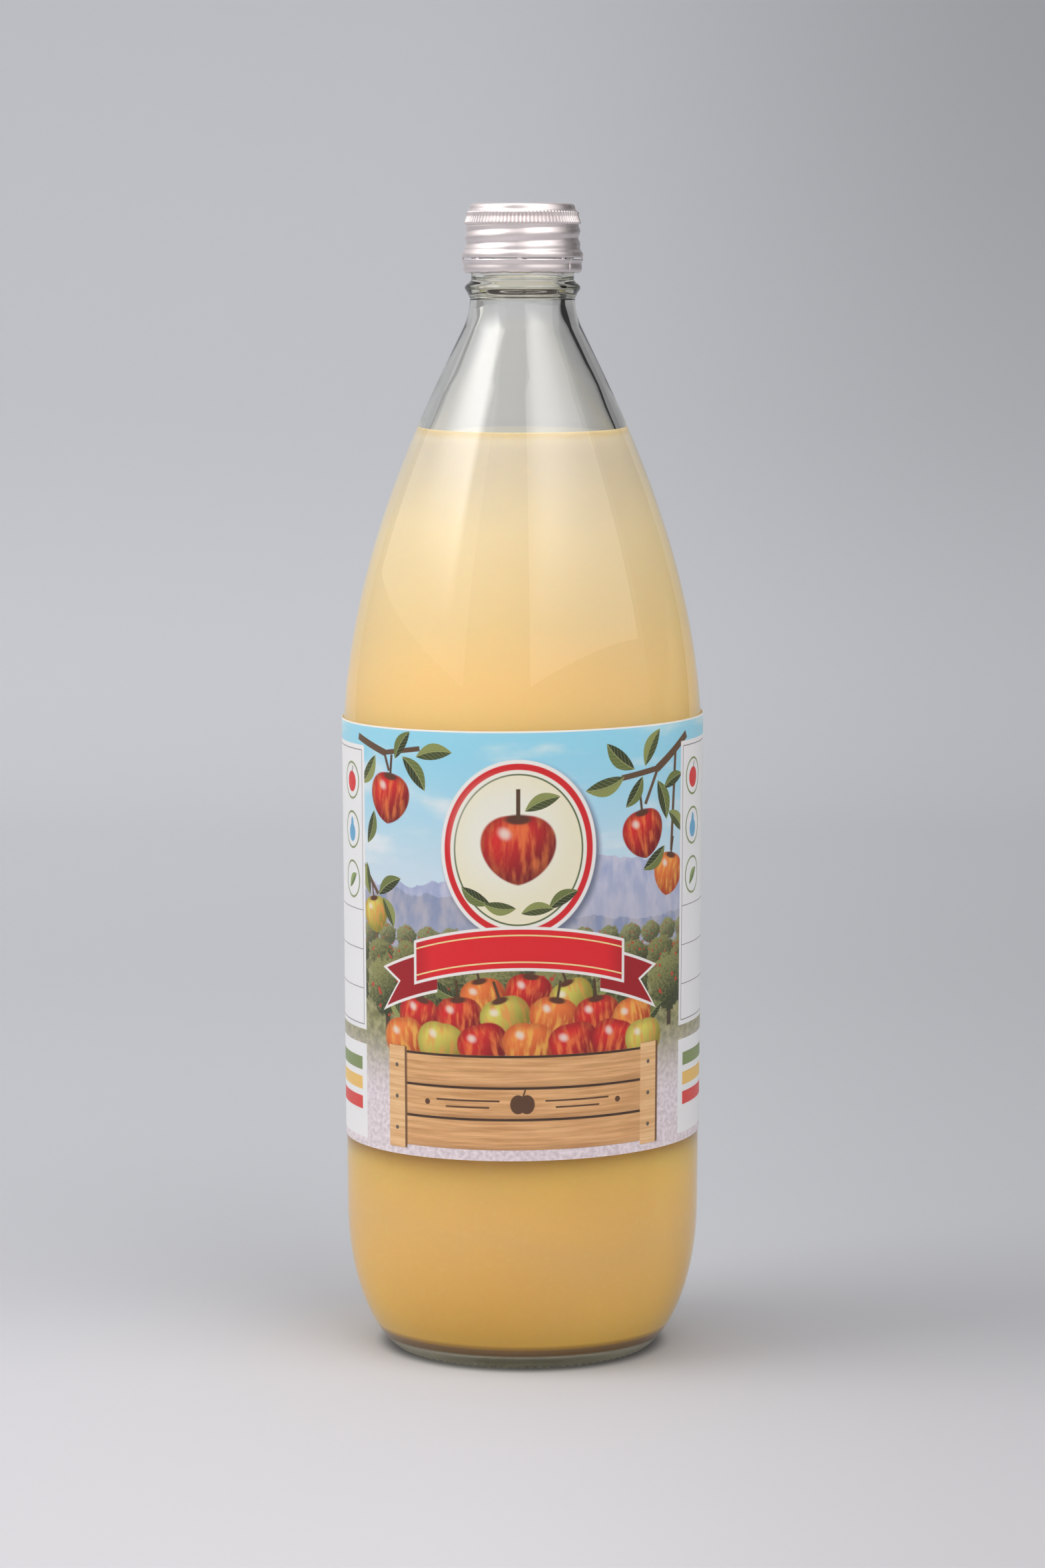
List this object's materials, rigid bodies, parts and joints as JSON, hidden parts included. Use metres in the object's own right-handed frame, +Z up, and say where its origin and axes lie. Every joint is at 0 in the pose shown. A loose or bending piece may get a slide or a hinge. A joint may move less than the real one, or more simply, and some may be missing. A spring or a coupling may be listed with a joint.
{
  "type": "glass bottle of cloudy juice",
  "caption": "Clear round glass bottle with a long tapered shoulder, filled with cloudy juice, closed by a roll-on metal cap and wrapped in a printed paper label.",
  "frame": {"origin": "centre of the ring that the bottle stands on", "axes": "+Z up along the bottle's axis, -Y towards the front of the label, +X to the right as seen from the front"},
  "size_m": [0.089, 0.089, 0.2794],
  "materials": {
    "clear_glass": "gloss",
    "cloudy_juice": "satin",
    "satin_aluminium": "satin",
    "printed_paper": "matte"
  },
  "bodies": {
    "root": {"bottle_glass": "clear_glass", "juice": "cloudy_juice", "cap": "satin_aluminium", "label": "printed_paper"}
  },
  "joints": []
}
